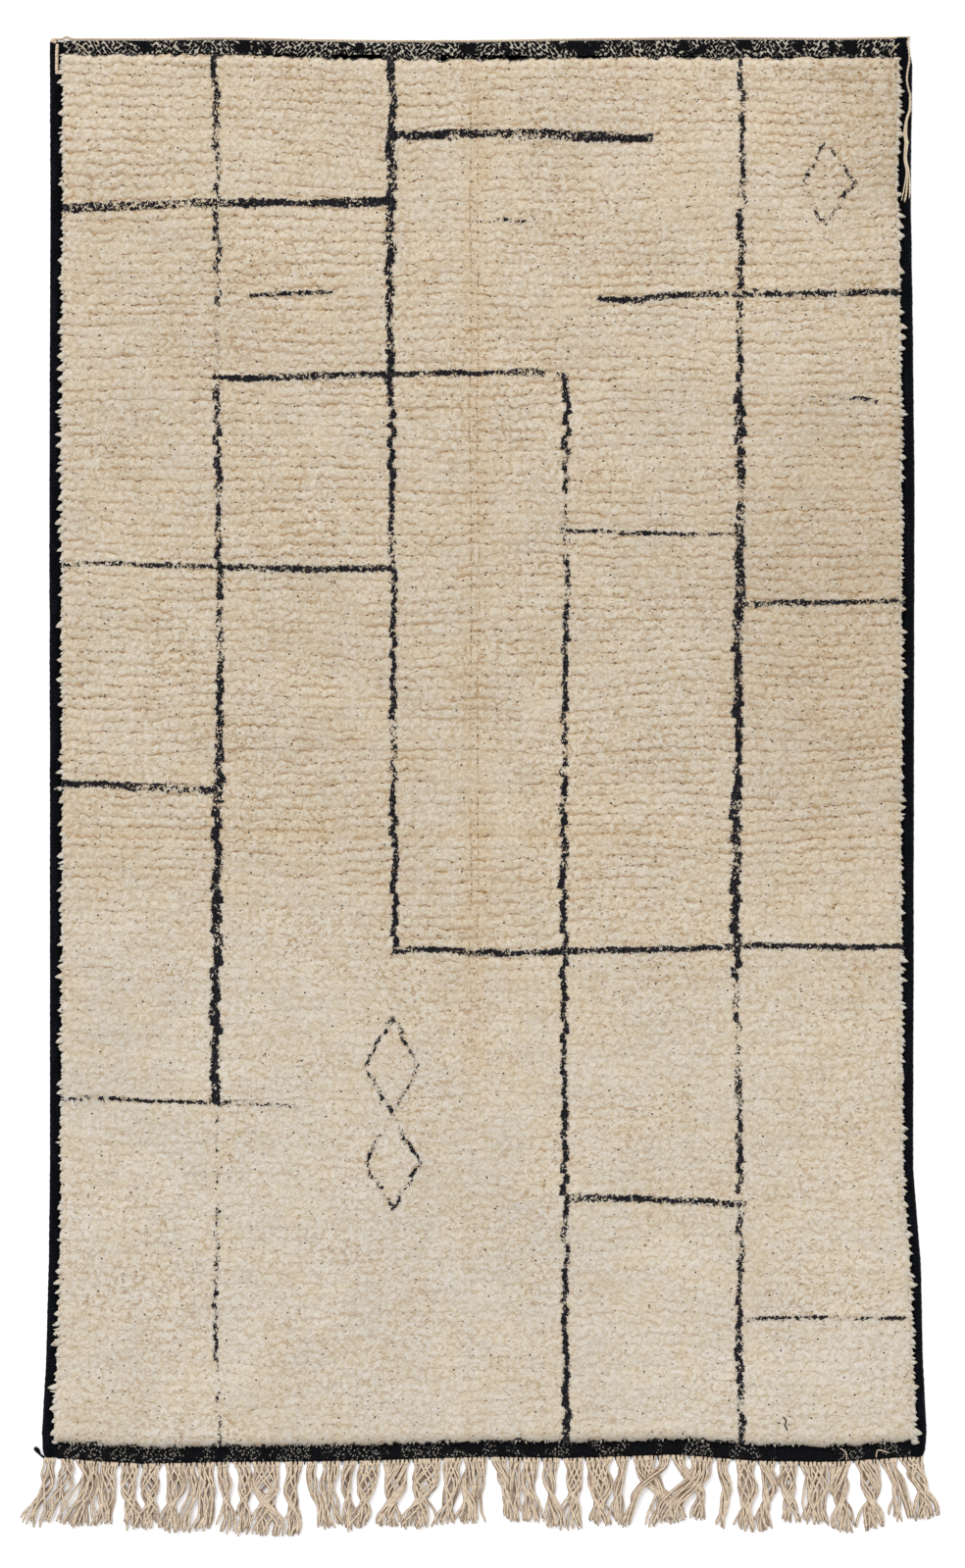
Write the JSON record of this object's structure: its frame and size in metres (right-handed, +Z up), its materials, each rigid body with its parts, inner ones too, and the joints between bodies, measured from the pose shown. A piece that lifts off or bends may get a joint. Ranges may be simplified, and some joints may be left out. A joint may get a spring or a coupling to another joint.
{
  "type": "beni ourain rug",
  "caption": "Hand-knotted wool rug lying flat, with thick cream pile in rows, dark overcast sides, dark woven end bands and a knotted fringe along one end.",
  "frame": {"origin": "middle of the footprint, fringe included, on the underside", "axes": "+Y along the length, from the fringe to the twined top edge; +X across the width; +Z up, pile side up"},
  "size_m": [1.6342, 2.6494, 0.022],
  "materials": {
    "ground_weave": "plain woven cream wool, seen from beneath",
    "dark_band": "flat-woven black wool with cream warp flecks",
    "dark_selvedge": "overcast black wool yarn",
    "cream_pile": "matted ivory wool pile with broken dark lines",
    "cream_warp": "twisted cream warp yarn"
  },
  "bodies": {
    "root": {"ground_weave": "ground_weave", "end_band_top": "dark_band", "end_band_bottom": "dark_band", "selvedge_left": "dark_selvedge", "selvedge_right": "dark_selvedge", "pile": "cream_pile", "top_cord": "cream_warp", "corner_knot": "cream_warp", "corner_tail": "cream_warp", "loose_cord": "cream_warp", "corner_tuft": "dark_selvedge", "fringe": "cream_warp"}
  },
  "joints": []
}
